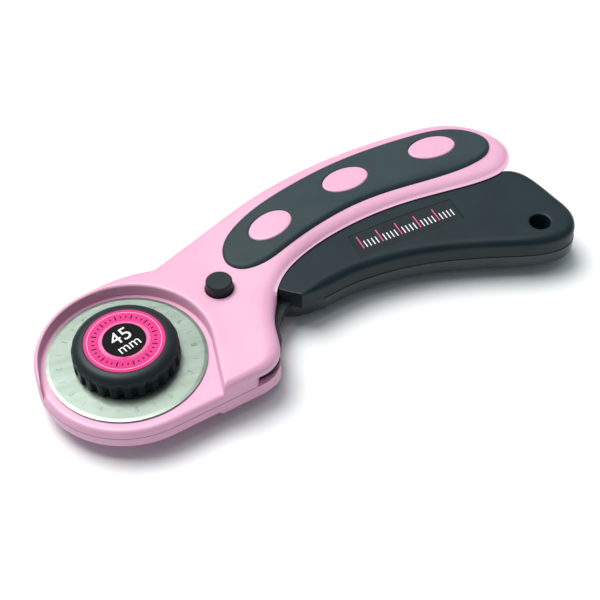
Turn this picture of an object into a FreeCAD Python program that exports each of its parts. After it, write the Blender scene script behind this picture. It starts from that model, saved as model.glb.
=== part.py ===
"""Rotary cutter: a squeeze-handled fabric cutter with a round 45 mm blade.

The blade, its bolt and its clamping knob ride on a steel lever. Squeezing the
trigger against the handle turns the lever about the pivot pin and pushes the
blade out past the fixed guard edge of the pink body.

Modelling frame: millimetres, origin on the blade's axis at its mid-thickness,
+X towards the handle's end, +Y away from the cutting side, +Z out of the face
with the knob. The exported pieces are moved so that the origin lies under the
middle of the whole object.
"""
import FreeCAD, Part
import math
import os

V = FreeCAD.Vector
UP = V(0, 0, 1)
os.makedirs("parts", exist_ok=True)

# ------------------------------------------------------------ driving dimensions
BLADE_R = 22.5
BLADE_T = 0.3
BLADE_BEVEL = 1.0

PIVOT = (36.0, -6.6)          # squeeze hinge, plan position
SQUEEZE_DEG = 10.5            # full squeeze of the trigger
LOCK = (31.7, 11.9)           # lock button, plan position

HEAD_CENTRE = (0.6, 0.2)      # guard disc of the body
HEAD_R = 26.2
GUARD_DEG = 9.8               # slope of the straight guard edge
RECESS_R = 24.0               # pocket that the blade lies in
RECESS_DEG = 260.0            # direction in which the pocket runs out of the guard

Z_FACE = 3.3                  # face of the head
Z_FLOOR = (-1.9, -0.5)        # plate under the blade
Z_SPLIT = -3.5                # parting plane of body and trigger
Z_HEAD_BACK = -7.0
Z_NECK_BACK = -8.2
Z_HANDLE_BACK = -11.2
Z_REST = -11.8                # the back grip's flat face, which the cutter lies on
Z_LEVER = (-4.9, -2.2)        # steel lever plate
Z_NOSE = -3.2                 # underside of its thin step
Z_TRIGGER = (-9.3, 2.3)
GAP = 0.3                     # running gap beside moving pieces
WALL = 1.8                    # body wall
TRIGGER_WALL = 2.0

LOBE_R = 7.0                  # lever round its pivot
NOSE = (34.0, -12.6)          # thin step of the lever that shows in the neck's slot
NOSE_R = 6.1
PIN_R = 2.0
BOLT_R = 4.0
THREAD_R = 3.0
FIT = 0.05                    # radial running clearance of shafts
BUTTON_R = 3.85
COLLAR_R = 2.5
NECK_R = 1.3
KNOB_R = 15.0
KNOB_FLUTES = 24
HANG_HOLE = (129.7, 1.3)
HANG_HOLE_R = 3.12

BODY_SCREWS = [(24.5, 21.5), (62.0, 40.5), (101.0, 47.0)]
TRIGGER_SCREWS = [(60.0, 11.0), (85.0, 13.2), (108.0, 9.2)]
OVALS = [(53.6, 28.2, 14.6, 9.6, 20), (81.8, 37.6, 15.2, 9.4, 8), (112.4, 40.6, 15.4, 9.4, 0)]


# ------------------------------------------------------------ helpers
def polar(centre, radius, degrees):
    """The plan point at an angle on a circle."""
    angle = math.radians(degrees)
    return (centre[0] + radius * math.cos(angle), centre[1] + radius * math.sin(angle))


def unit(degrees):
    return polar((0, 0), 1.0, degrees)


def line(a, b):
    return Part.makeLine(V(*a, 0), V(*b, 0))


def arc(a, b, c):
    return Part.Arc(V(*a, 0), V(*b, 0), V(*c, 0)).toShape()


def spline(points, start=None, end=None):
    """A smooth curve through plan points, with optional end directions."""
    through = [V(x, y, 0) for x, y in points]
    spans = [a.distanceToPoint(b) for a, b in zip(through, through[1:])]
    places = [sum(spans[:count]) for count in range(len(through))]
    curve = Part.BSplineCurve()
    if start and end:
        first, last = V(*start, 0).normalize(), V(*end, 0).normalize()
        ways = [first] + [b - a for a, b in zip(through, through[2:])] + [last]
        wanted = [True] + [False] * len(through[2:]) + [True]
        curve.interpolate(Points=through, Parameters=places, Tangents=ways, TangentFlags=wanted, Scale=False)
    else:
        curve.interpolate(Points=through, Parameters=places)
    return curve.toShape()


def face_of(edges):
    return Part.Face(Part.Wire(edges))


def polygon(points):
    return face_of([line(a, b) for a, b in zip(points, points[1:] + points[:1])])


def prism(face, z_low, z_high):
    solid = face.extrude(V(0, 0, z_high - z_low))
    solid.translate(V(0, 0, z_low))
    return solid


def cylinder(at, radius, z_low, z_high):
    return Part.makeCylinder(radius, z_high - z_low, V(at[0], at[1], z_low))


def box(x_low, x_high, y_low, y_high, z_low, z_high):
    return Part.makeBox(x_high - x_low, y_high - y_low, z_high - z_low, V(x_low, y_low, z_low))


def ring(at, outer, inner, z_low, z_high):
    return cylinder(at, outer, z_low, z_high).cut(cylinder(at, inner, z_low, z_high))


def turned(points, at=(0.0, 0.0)):
    """A solid of revolution about a vertical axis, from (radius, z) points."""
    corners = [V(r, 0, z) for r, z in points]
    profile = Part.Face(Part.makePolygon(corners + corners[:1]))
    solid = profile.revolve(V(0, 0, 0), UP, 360)
    solid.translate(V(at[0], at[1], 0))
    return solid


def link(a, radius_a, b, radius_b):
    """Two circles and the tangent lines that join them, as one plan face."""
    dx, dy = b[0] - a[0], b[1] - a[1]
    heading = math.degrees(math.atan2(dy, dx))
    lean = math.degrees(math.acos((radius_a - radius_b) / math.hypot(dx, dy)))
    a_left, a_right = polar(a, radius_a, heading + lean), polar(a, radius_a, heading - lean)
    b_left, b_right = polar(b, radius_b, heading + lean), polar(b, radius_b, heading - lean)
    return face_of([
        arc(a_left, polar(a, radius_a, heading + 180), a_right), line(a_right, b_right),
        arc(b_right, polar(b, radius_b, heading), b_left), line(b_left, a_left)])


def swung(at, degrees):
    """A plan point after the lever has turned about its pivot."""
    dx, dy = at[0] - PIVOT[0], at[1] - PIVOT[1]
    radius, angle = math.hypot(dx, dy), math.degrees(math.atan2(dy, dx))
    return polar(PIVOT, radius, angle + degrees)


def profile_prism(top, bottom):
    """A side profile in XZ, extruded through the whole width of the cutter."""
    far = 80.0
    edges = [edge.copy() for edge in top + bottom]
    wire = Part.Wire(Part.__sortEdges__(edges))
    wire.rotate(V(0, 0, 0), V(1, 0, 0), 90)
    solid = Part.Face(wire).extrude(V(0, 2 * far, 0))
    solid.translate(V(0, -far, 0))
    return solid


def rounded(solid, radius, chosen):
    """Fillet the edges that the test picks, with a smaller radius if need be."""
    edges = [edge for edge in solid.Edges if chosen(edge)]
    for factor in (1.0, 0.8, 0.6, 0.4):
        try:
            result = solid.makeFillet(radius * factor, edges)
        except Exception:
            continue
        if result.isValid() and result.Volume > 0.8 * solid.Volume:
            print("fillet", round(radius * factor, 2), "on", len(edges), "edges")
            return result
    print("no fillet of", radius, "on", len(edges), "edges")
    return solid


def ellipse(at, length, width, degrees, grow=0.0):
    curve = Part.Ellipse(V(0, 0, 0), length / 2 + grow, width / 2 + grow)
    face = Part.Face(Part.Wire([curve.toShape()]))
    face.rotate(V(0, 0, 0), UP, degrees)
    face.translate(V(at[0], at[1], 0))
    return face


def inset(face, distance):
    """The outline moved inwards, with each offset curve redrawn as a plain spline."""
    edges = []
    for edge in face.makeOffset2D(-distance).OuterWire.OrderedEdges:
        count = 2 if edge.Curve.TypeId == "Part::GeomLine" else max(6, int(edge.Length / 5))
        points = edge.discretize(count)
        if edge.Orientation == "Reversed":
            points.reverse()
        edges.append([(point.x, point.y) for point in points])
    for before, after in zip(edges, edges[1:] + edges[:1]):
        if math.dist(before[-1], after[0]) > math.dist(before[-1], after[-1]):
            after.reverse()
        after[0] = before[-1]
    return face_of([line(*points) if len(points) == 2 else spline(points) for points in edges])


def one(shape):
    """Merge the split faces that the cuts leave and hand back the solid."""
    clean = shape.removeSplitter()
    solids = sorted(clean.Solids, key=lambda item: item.Volume)
    return solids[-1]


# ------------------------------------------------------------ plan outlines
def body_face():
    """Outline that both body shells share: guard disc, neck and handle."""
    top, left = polar(HEAD_CENTRE, HEAD_R, 105), polar(HEAD_CENTRE, HEAD_R, 190)
    bottom = polar(HEAD_CENTRE, HEAD_R, GUARD_DEG - 90)
    guard = unit(GUARD_DEG)
    corner = (bottom[0] + 27.9 * guard[0], bottom[1] + 27.9 * guard[1])
    nape, heel = (16.5, 27.1), (127.0, 24.2)
    heel_way = (1.0, 0.22)
    lower = spline([corner, (37.9, -18.0), (40.4, -13.3), (41.9, -6), (44.5, 1), (50, 9.2), (60, 16),
                    (75, 21.2), (95, 23.9), (113, 23.5), heel], guard, heel_way)
    upper = spline([heel, (133.2, 28), (135.4, 35), (133, 42.4), (126, 48.8), (115, 51.8), (100, 52),
                    (85, 50.8), (70, 48.1), (50, 42), (33, 34.9), nape], heel_way, (-1.0, -0.48))
    crest = spline([nape, (9.5, 27.9), (1.5, 27.2), top], (-1.0, 0.17), unit(195))
    return face_of([arc(top, left, bottom), line(bottom, corner), lower, upper, crest])


def trigger_face():
    """Outline of the trigger; its upper edge lies inside the handle."""
    chin, nose, tail = (52.8, 0.9), (47.3, 5.6), (131.0, 26.8)
    outer = spline([chin, (58, 1.7), (70, 4.2), (82.4, 4.6), (92.6, 3.5), (104, 0.8), (118, -3.8),
                    (130.4, -6.9), (137.4, -5.4), (141.3, 1.8), (140.3, 9), (138, 18), (135, 24.2), tail],
                   (1.0, 0.05), (-1.0, 0.25))
    inner = spline([tail, (120, 29.2), (100, 29.3), (80, 26), (60, 18.6), (50, 11.8), nose],
                   (-1.0, 0.25), (-0.35, -1.0))
    return face_of([outer, inner, line(nose, chin)])


def lever_face():
    """Outline of the steel lever: blade end, pivot, lock lobe and trigger arm."""
    arm_low = spline([(38.6, -13.1), (41.3, -10.8), (43.0, -5.8), (45.8, -0.7), (50.2, 3.7), (58, 7),
                      (72, 9.2), (92, 8.6), (112, 4.6)])
    arm_high = spline([(114, 11.2), (96, 16.4), (76, 17.2), (58, 12.6), (47, 8.2), (39, 2)])
    arm = face_of([arm_low, line((112, 4.6), (114, 11.2)), arm_high, line((39, 2), (38.6, -13.1))])
    blade_end = link((0, 0), 8.5, PIVOT, LOBE_R)
    lock_end = link(LOCK, 5.5, swung(LOCK, -SQUEEZE_DEG), 5.5 - 0.001)
    web = link(swung(LOCK, -SQUEEZE_DEG / 2), 5.5, PIVOT, LOBE_R)
    return arm, blade_end, lock_end, web


def grip_face():
    """Outline of the soft front grip."""
    start, end, down, up = (36.7, 20.6), (130.4, 37.3), (0.1, -1.0), (0.0, 1.0)
    upper = spline([end, (128, 42.6), (121, 47), (108, 48.5), (95, 48), (80, 46), (60, 40.4), (44, 32.9),
                    (38.2, 27), start], up, down)
    lower = spline([start, (39.2, 16.4), (44.5, 15.2), (55, 18.6), (67, 23.6), (80, 27.3), (95, 28.8),
                    (113, 29), (124, 30.8), (128.6, 33.4), end], down, up)
    return face_of([upper, lower])


# ------------------------------------------------------------ body shells
def body_blank(outline):
    """The whole closed body before it is split and hollowed."""
    crown = spline([(28, Z_FACE), (38, 3.75), (50, 4.5), (90, 5.0), (145, 4.2)], (1, 0), (1, -0.03))
    top = [line((-30, Z_FACE), (28, Z_FACE)), crown, line((145, 4.2), (145, Z_HANDLE_BACK))]
    back = [(145, Z_HANDLE_BACK), (43.5, Z_HANDLE_BACK), (37.5, Z_NECK_BACK), (20.0, Z_NECK_BACK),
            (19.2, Z_HEAD_BACK), (-30, Z_HEAD_BACK), (-30, Z_FACE)]
    bottom = [line(a, b) for a, b in zip(back, back[1:])]
    blank = prism(outline, -14, 8).common(profile_prism(top, bottom))

    def front_rim(edge):
        return edge.BoundBox.ZMin > Z_FACE - 0.01 and edge.BoundBox.XLength > 0.01 and not across(edge)

    def back_rim(edge):
        flat = edge.BoundBox.ZLength < 0.05
        return flat and edge.BoundBox.ZMax < Z_HEAD_BACK + 0.01 and not across(edge)

    def across(edge):
        middle = edge.valueAt((edge.FirstParameter + edge.LastParameter) / 2)
        near = Part.Vertex(middle.x, middle.y, 0).distToShape(outline.OuterWire)[0]
        return near > 0.2

    return rounded(rounded(blank, 2.2, front_rim), 1.0, back_rim)


def lever_room(inner):
    """Flat space that the lever swings in, open to the right of the neck."""
    head = prism(inner, Z_LEVER[0] - GAP, Z_LEVER[1] + GAP).common(box(-40, 60, -40, 60, -20, 20))
    sweep = link(NOSE, NOSE_R + GAP, swung(NOSE, SQUEEZE_DEG), NOSE_R + GAP - 0.001)
    return head.fuse([box(37.5, 62, -15.2, 9, Z_LEVER[0] - GAP, Z_LEVER[1] + GAP),
                      prism(sweep, Z_NOSE - GAP, Z_LEVER[1] + GAP)])


def trigger_room(inner):
    """Hollow of the handle and the mouth along its lower side and its end."""
    low, high = Z_TRIGGER[0] - GAP, Z_TRIGGER[1] + GAP
    hollow = prism(inner, low, high).common(box(43.8, 160, -10, 60, -20, 20))
    mouth = polygon([(43.8, 18), (44.1, 7.0), (46.8, 4.8), (52.4, 0.4), (60, -20), (160, -20),
                     (160, 40.6), (131, 40.6), (118, 34), (60, 24)])
    return hollow.fuse(prism(mouth, low, high))


def recess():
    """Pocket for the blade: a disc run out through the guard edge."""
    way = unit(RECESS_DEG)
    run = 40.0
    end = (run * way[0], run * way[1])
    return prism(link((0, 0), RECESS_R, end, RECESS_R - 0.001), Z_FLOOR[1], 10)


def spring_pockets():
    """Blind pockets under the front face for the two wire springs."""
    low, roof = Z_FLOOR[0] - 0.01, 1.2
    coil = cylinder(PIVOT, 4.0, low, roof)
    long_leg = box(26.8, PIVOT[0], PIVOT[1] + 0.4, PIVOT[1] + 4.0, low, roof)
    short_leg = box(38.0, 40.7, -12.2, PIVOT[1], low, roof)
    detent = box(LOCK[0] - 5.4, LOCK[0] + 5.4, LOCK[1] - 6.0, LOCK[1] + 11.0, low, 0.95)
    return coil.fuse([long_leg, short_leg, detent])


def screw_bosses(z_low, z_high, first_low, first_high):
    """Posts for the body screws; the first stands in the lower neck space."""
    posts = [cylinder(BODY_SCREWS[0], 3.0, first_low, first_high)]
    posts += [cylinder(at, 3.0, z_low, z_high) for at in BODY_SCREWS[1:]]
    return posts


def front_shell(blank, inner):
    shell = blank.common(box(-40, 160, -60, 70, Z_SPLIT, 20))
    shell = shell.cut(lever_room(inner).fuse(trigger_room(inner)))
    posts = screw_bosses(Z_SPLIT, Z_TRIGGER[1] + GAP, Z_SPLIT, Z_FLOOR[0])
    shell = shell.fuse(posts).cut(recess())
    window = polygon([(30.75, -30), (50, -30), (50, -12), (39, -12), (37.6, -14.8), (34.6, -16.7),
                      (30.75, -17.6)])
    shell = shell.cut([prism(window, Z_SPLIT - 1, 0.3), spring_pockets()])
    shell = shell.cut(box(-40, -23.2, -40, -1.0, Z_FLOOR[1], 10))
    slot = link((0, 0), 7.5, swung((0, 0), SQUEEZE_DEG), 7.499)
    shell = shell.cut([prism(slot, -5, 2), cylinder(LOCK, BUTTON_R + GAP, -5, 8),
                       cylinder(PIVOT, PIN_R, -5, 2.0)])
    shell = shell.cut([cylinder(at, 1.2, -5, 1.8) for at in BODY_SCREWS])
    shell = shell.cut(prism(grip_face(), 3.6, 9))
    bosses = [rounded(prism(ellipse(oval[:2], *oval[2:]), 3.5, 5.9), 0.6,
                      lambda edge: edge.BoundBox.ZMin > 5.8) for oval in OVALS]
    return one(shell.fuse(bosses))


def back_grip_face(outline):
    return inset(outline, 3.2).common(polygon([(46, -5), (140, -5), (140, 60), (46, 60)])).Faces[0]


def rear_shell(blank, inner, grip):
    shell = blank.common(box(-40, 160, -60, 70, -20, Z_SPLIT))
    shell = shell.cut(lever_room(inner).fuse(trigger_room(inner)))
    posts = screw_bosses(Z_TRIGGER[0] - GAP, Z_SPLIT, Z_LEVER[0] - GAP, Z_SPLIT)
    shell = shell.fuse(posts)
    slot = link((0, 0), 7.0, swung((0, 0), SQUEEZE_DEG), 6.999)
    shell = shell.cut([prism(slot, -9, -3), cylinder(LOCK, BUTTON_R + GAP, -12, -4)])
    shell = shell.cut([cylinder(PIVOT, PIN_R, -12, -4), cylinder(PIVOT, 3.3, -12, -7.2)])
    shell = shell.cut([cylinder(at, 1.3, -13, -3) for at in BODY_SCREWS])
    shell = shell.cut([cylinder(BODY_SCREWS[0], 2.5, -13, -6.6)])
    shell = shell.cut([cylinder(at, 2.5, -13, -8.6) for at in BODY_SCREWS[1:]])
    return one(shell.cut(prism(grip, -14, -10.4)))


# ------------------------------------------------------------ grips
def front_grip():
    top = [line((30, 2), (30, 4.9)), spline([(30, 4.9), (60, 5.6), (90, 6.0), (115, 5.8), (135, 5.1)]),
           line((135, 5.1), (135, 2)), line((135, 2), (30, 2))]
    grip = prism(grip_face(), 3.6, 8).common(profile_prism(top, []))
    grip = rounded(grip, 0.9, lambda edge: edge.BoundBox.ZMin > 4.5)
    return one(grip.cut([prism(ellipse(oval[:2], *oval[2:], 0.15), 3, 9) for oval in OVALS]))


def rear_grip(grip):
    pad = prism(grip, Z_REST, -10.4)
    pad = rounded(pad, 0.5, lambda edge: edge.BoundBox.ZMax < Z_REST + 0.01)
    return one(pad.cut([cylinder(at, 2.9, -13, -10) for at in BODY_SCREWS[1:]]))


# ------------------------------------------------------------ lever and trigger
def lever_arm():
    plates = [prism(face, *Z_LEVER) for face in lever_face()]
    lever = plates[0].fuse(plates[1:] + [cylinder((0, 0), 7.0, Z_LEVER[1], -0.2),
                                         cylinder(NOSE, NOSE_R, Z_NOSE, Z_LEVER[1])])
    parked, drawn = LOCK, swung(LOCK, -SQUEEZE_DEG)
    holes = [cylinder((0, 0), BOLT_R, -6, 1), cylinder(PIVOT, PIN_R + FIT, -6, 1),
             cylinder(parked, COLLAR_R + 0.2, -6, 1), cylinder(drawn, COLLAR_R + 0.2, -6, 1),
             prism(link(parked, NECK_R + GAP, drawn, NECK_R + GAP - 0.001), -6, 1),
             cylinder((PIVOT[0] - 7.5, PIVOT[1] + 3.0), 0.4, -6, 1)]
    holes += [cylinder(at, 1.2, -6, 1) for at in TRIGGER_SCREWS]
    return one(lever.cut(holes))


def trigger_half(outline, lever, front):
    """One moulded half of the trigger, hollow, with posts that clamp the lever."""
    outer, split = (Z_TRIGGER[1], Z_SPLIT) if front else (Z_TRIGGER[0], Z_SPLIT)
    skin = outer - TRIGGER_WALL if front else outer + TRIGGER_WALL
    low, high = sorted((outer, split))
    half = prism(outline, low, high)
    half = rounded(half, 2.0, lambda edge: abs(edge.BoundBox.ZMin - outer) < 0.01 > edge.BoundBox.ZLength)
    hollow = prism(inset(outline, TRIGGER_WALL), *sorted((skin, split)))
    lever_side = Z_LEVER[1] if front else Z_LEVER[0]
    posts = [cylinder(at, 3.2, *sorted((skin, lever_side))) for at in TRIGGER_SCREWS]
    eye = cylinder(HANG_HOLE, HANG_HOLE_R + 2.2, *sorted((skin, split)))
    half = half.cut(hollow).fuse(posts + [eye])
    half = half.cut([lever, cylinder(HANG_HOLE, HANG_HOLE_R, -12, 8)])
    return half


def badge_face(grow=0.0):
    """Curved strip that fits the label recess of the trigger."""
    x_low, x_high = 74.2 - grow, 109.5 + grow
    low = [(x_low, 8.2 - grow), (92, 9.8 - grow), (x_high, 11.2 - grow)]
    high = [(x_high - 0.4, 20.4 + grow), (92, 19.6 + grow), (x_low, 17.6 + grow)]
    return face_of([spline(low), line(low[-1], high[0]), spline(high), line(high[-1], low[0])])


def trigger_front_cover(outline, lever):
    half = trigger_half(outline, lever, True)
    half = half.cut([cylinder(at, 1.1, -4, 0.9) for at in TRIGGER_SCREWS])
    return one(half.cut(prism(badge_face(), 1.8, 5)))


def trigger_rear_cover(outline, lever):
    half = trigger_half(outline, lever, False)
    half = half.cut([cylinder(at, 1.2, -12, -3) for at in TRIGGER_SCREWS])
    return one(half.cut([cylinder(at, 2.4, -12, -7.6) for at in TRIGGER_SCREWS]))


def screw(at, z_head, z_seat, z_tip, shank_r, head_r):
    """A pan-head screw driven in from the back, with a cross slot."""
    body = cylinder(at, head_r, z_head, z_seat).fuse(cylinder(at, shank_r, z_seat, z_tip))
    arm, width, depth = head_r * 0.6, 0.35, 0.6
    cross = box(at[0] - arm, at[0] + arm, at[1] - width, at[1] + width, z_head, z_head + depth)
    cross = cross.fuse(box(at[0] - width, at[0] + width, at[1] - arm, at[1] + arm,
                           z_head, z_head + depth))
    return one(body.cut(cross))


# ------------------------------------------------------------ blade and its clamp
def blade():
    half, edge = BLADE_T / 2, 0.02
    return turned([(BOLT_R + FIT, -half), (BLADE_R - BLADE_BEVEL, -half), (BLADE_R, -edge),
                   (BLADE_R, edge), (BLADE_R - BLADE_BEVEL, half), (BOLT_R + FIT, half)])


def blade_bolt():
    bolt = turned([(0, -6.5), (6.1, -6.5), (6.5, -6.1), (6.5, Z_LEVER[0]), (BOLT_R, Z_LEVER[0]),
                   (BOLT_R, 0.25), (THREAD_R, 0.25), (THREAD_R, 5.1), (THREAD_R - 0.4, 5.5), (0, 5.5)])
    return bolt.cut(box(-4.6, 4.6, -0.6, 0.6, -7, -5.9))


def split_washer():
    washer = ring((0, 0), 6.2, 3.4, 0.3, 1.0)
    return washer.cut(box(2, 8, -0.5, 0.5, 0, 2))


def clamp_knob():
    """Fluted clamping knob, cored from below round the threaded insert."""
    shoulder = [(KNOB_R - 3.2 + 3.1 * math.cos(math.radians(a)), 4.3 + 3.0 * math.sin(math.radians(a)))
                for a in range(0, 91, 15)]
    knob = turned([(0, 6.8), (0, 6.3), (5.0, 6.3), (5.0, 1.3), (7.0, 1.3), (7.0, 0.3), (8.6, 0.3),
                   (8.6, 4.6), (13.0, 4.6), (13.0, 0.3), (KNOB_R, 0.3)] + shoulder
                  + [(11.4, 7.3), (11.4, 6.8)])
    flute = Part.makeCone(2.0, 0.2, 5.6, V(KNOB_R + 1.05, 0, 0.2))
    cuts = []
    for number in range(KNOB_FLUTES):
        cut = flute.copy()
        cut.rotate(V(0, 0, 0), UP, 360.0 / KNOB_FLUTES * number)
        cuts.append(cut)
    return one(knob.cut(cuts))


def knob_insert():
    return ring((0, 0), 5.0, THREAD_R + FIT, 1.3, 6.3)


# ------------------------------------------------------------ lock button
def lock_button():
    top = Z_FACE + 3.2
    return turned([(0, top), (BUTTON_R - 0.4, top), (BUTTON_R, top - 0.4), (BUTTON_R, 1.3),
                   (COLLAR_R, 1.3), (COLLAR_R, -1.9), (NECK_R, -1.9), (NECK_R, -6.8), (0, -6.8)], LOCK)


def lock_button_cap():
    return turned([(NECK_R, -5.3), (BUTTON_R, -5.3), (BUTTON_R, -7.8), (BUTTON_R - 0.4, Z_NECK_BACK),
                   (0, Z_NECK_BACK), (0, -6.8), (NECK_R, -6.8)], LOCK)


def detent_spring():
    """Hairpin of spring wire astride the lock button."""
    wire_r, span, level = 0.35, BUTTON_R + 0.7, 0.6
    near, far = LOCK[1] - 5.0, LOCK[1] + 5.0
    left, right = LOCK[0] - span, LOCK[0] + span
    path = Part.Wire([
        Part.makeLine(V(left, near, level), V(left, far, level)),
        Part.Arc(V(left, far, level), V(LOCK[0], far + span, level), V(right, far, level)).toShape(),
        Part.makeLine(V(right, far, level), V(right, near, level))])
    section = Part.Wire([Part.makeCircle(wire_r, V(left, near, level), V(0, 1, 0))])
    return path.makePipeShell([section], True, False)


# ------------------------------------------------------------ pivot
def pivot_pin():
    return turned([(0, -8.2), (2.8, -8.2), (3.2, -7.8), (3.2, -7.2), (PIN_R, -7.2), (PIN_R, 1.7),
                   (PIN_R - 0.3, 2.0), (0, 2.0)], PIVOT)


def pivot_washers():
    thick = 0.25
    return Part.makeCompound([ring(PIVOT, 3.9, PIN_R + FIT, Z_FLOOR[0] - thick, Z_FLOOR[0]),
                              ring(PIVOT, 5.0, PIN_R + FIT, -5.2, -5.2 + thick)])


def return_spring():
    """Torsion spring round the pivot pin; its long leg hooks down into the lever."""
    wire_r, coil_r, pitch, start, quarters = 0.4, 3.0, 0.85, -1.4, 9
    leg, tip, bend = 7.5, -3.5, 0.8

    def coil(quarter):
        x, y = polar(PIVOT, coil_r, 90 * quarter)
        return V(x, y, start + pitch * quarter / 4)

    top = coil(quarters)
    elbow = top - V(leg, 0, 0)
    foot = coil(0) - V(0, 4.9, 0)
    edges = [Part.makeLine(foot, coil(0))]
    edges += [Part.Arc(coil(count), coil(count + 0.5), coil(count + 1)).toShape()
              for count in range(quarters)]
    before, after = elbow + V(bend, 0, 0), elbow - V(0, 0, bend)
    edges += [Part.makeLine(top, before),
              Part.Arc(before, elbow + V(0.3 * bend, 0, -0.3 * bend), after).toShape(),
              Part.makeLine(after, V(elbow.x, elbow.y, tip))]
    section = Part.Wire([Part.makeCircle(wire_r, foot, V(0, 1, 0))])
    return one(Part.Wire(edges).makePipeShell([section], True, False))


# ------------------------------------------------------------ assembly and export
def build():
    outline, trigger = body_face(), trigger_face()
    inner = inset(outline, WALL)
    blank, back_grip = body_blank(outline), back_grip_face(outline)
    lever = lever_arm()
    nodes = {
        "front_shell": front_shell(blank, inner),
        "rear_shell": rear_shell(blank, inner, back_grip),
        "front_grip": front_grip(),
        "rear_grip": rear_grip(back_grip),
        "pivot_pin": pivot_pin(),
        "pivot_washers": pivot_washers(),
        "body_screws": Part.makeCompound(
            [screw(BODY_SCREWS[0], -8.0, -6.6, 0.8, 1.2, 2.2)]
            + [screw(at, -10.2, -8.6, 1.0, 1.2, 2.2) for at in BODY_SCREWS[1:]]),
        "detent_spring": detent_spring(),
        "lever_arm": lever,
        "trigger_front_cover": trigger_front_cover(trigger, lever),
        "trigger_rear_cover": trigger_rear_cover(trigger, lever),
        "trigger_badge": one(prism(badge_face(-0.1), 1.8, 2.2)),
        "trigger_screws": Part.makeCompound(
            [screw(at, -9.1, -7.6, 0.6, 1.1, 2.1) for at in TRIGGER_SCREWS]),
        "return_spring": return_spring(),
        "blade_bolt": blade_bolt(),
        "blade": blade(),
        "split_washer": split_washer(),
        "clamp_knob": clamp_knob(),
        "knob_insert": knob_insert(),
        "knob_badge": cylinder((0, 0), 11.3, 6.8, 7.25),
        "badge_ring": ring((0, 0), 6.9, 6.1, 7.25, 7.45),
        "lock_button": lock_button(),
        "lock_button_cap": lock_button_cap(),
    }
    whole = Part.makeCompound(list(nodes.values())).optimalBoundingBox(False)
    shift = V(-(whole.XMin + whole.XMax) / 2, -(whole.YMin + whole.YMax) / 2, -whole.ZMin)
    print("size", round(whole.XLength, 2), round(whole.YLength, 2), round(whole.ZLength, 2))
    print("shift", [round(value, 3) for value in shift])
    for name, shape in nodes.items():
        shape.translate(shift)
        shape.exportStep("parts/" + name + ".step")
        print(name, len(shape.Solids), round(shape.Volume, 1), shape.isValid())


build()
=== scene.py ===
"""Looks of the rotary cutter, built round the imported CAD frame.

Plan positions are in millimetres from the blade's axis, +X towards the handle's
end, +Y away from the cutting side and +Z out of the face with the knob, with
z = 0 at the blade's mid-thickness. ORIGIN puts them into the frame.
"""
import math

import bmesh
import bpy
import numpy as np
from mathutils import Matrix, Vector
from mathutils.geometry import delaunay_2d_cdt


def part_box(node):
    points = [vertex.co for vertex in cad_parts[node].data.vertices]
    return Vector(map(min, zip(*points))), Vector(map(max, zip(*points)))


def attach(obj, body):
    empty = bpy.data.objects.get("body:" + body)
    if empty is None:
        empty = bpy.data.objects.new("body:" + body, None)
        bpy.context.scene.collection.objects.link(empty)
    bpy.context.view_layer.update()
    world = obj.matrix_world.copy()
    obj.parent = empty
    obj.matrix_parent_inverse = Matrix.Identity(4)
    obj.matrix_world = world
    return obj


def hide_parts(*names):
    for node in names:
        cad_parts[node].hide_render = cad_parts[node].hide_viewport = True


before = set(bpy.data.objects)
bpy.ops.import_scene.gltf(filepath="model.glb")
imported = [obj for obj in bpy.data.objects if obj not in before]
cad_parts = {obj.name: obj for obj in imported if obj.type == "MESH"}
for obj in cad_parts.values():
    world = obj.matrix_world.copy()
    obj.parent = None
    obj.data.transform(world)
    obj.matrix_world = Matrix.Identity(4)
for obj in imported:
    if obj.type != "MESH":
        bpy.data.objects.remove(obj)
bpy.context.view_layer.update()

MM = 0.001
low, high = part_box("blade")
ORIGIN = (low + high) / 2

# ------------------------------------------------------------ sizes, mm
Z_FACE = 3.3                  # face of the guard head
Z_FLOOR = -0.5                # floor under the blade
Z_FLOOR_BACK = -1.9           # back of that floor
Z_SPLIT = -3.5                # parting plane of the two body shells
Z_HANDLE_UNDER = 2.6          # underside of the handle's front plate
Z_TRIGGER = (-9.3, 2.3)       # back and front of the trigger
Z_SCREW_SEAT = -7.6           # floor of the counterbores in the trigger's back
Z_LABEL = 2.22                # middle of the marks on the trigger's label
Z_BADGE = 7.25                # face of the knob's badge
Z_BLADE = 0.15                # face of the blade
Z_KNOB = (0.31, 7.29)         # foot and top of the knob
WINDOW_TOP = 0.3              # top of the slot at the neck's corner
HANDLE_RISE = 1.65            # height of the handle's face over the head's
TAIL_DROP = 0.35              # fall of the handle's face towards its end
GRIP_STEP = 0.85              # height of the grip over the handle
CROWN_SLOPE = 0.10            # fall of the handle's face per mm below its ridge
WALL = 1.8                    # side walls of the shell
HEAD_CENTRE = (0.6, 0.2)
HEAD_R = 26.2
GUARD_DEG = 9.8               # heading of the straight guard edge
RECESS_R = 24.0               # blade pocket
RECESS_DEG = 260.0            # heading in which the pocket runs out of the head
PIVOT = (36.0, -6.6)
NOSE = (34.6, -12.7)          # middle of the sweep of the lever's thin step
NOSE_ROOM_R = 7.1
LOCK = (31.7, 11.9)
LOCK_HOLE_R = 4.15
SQUEEZE_DEG = 10.5            # full stroke of the lever
SLOT_R = 7.5                  # slot that the blade's bolt swings in
HANG_HOLE = (129.7, 1.3)
HANG_HOLE_R = 3.12
TRIGGER_SCREWS = [(60.0, 11.0), (85.0, 13.2), (108.0, 9.2)]
KNOB_R = 14.95
KNOB_FLUTES = 24
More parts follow.
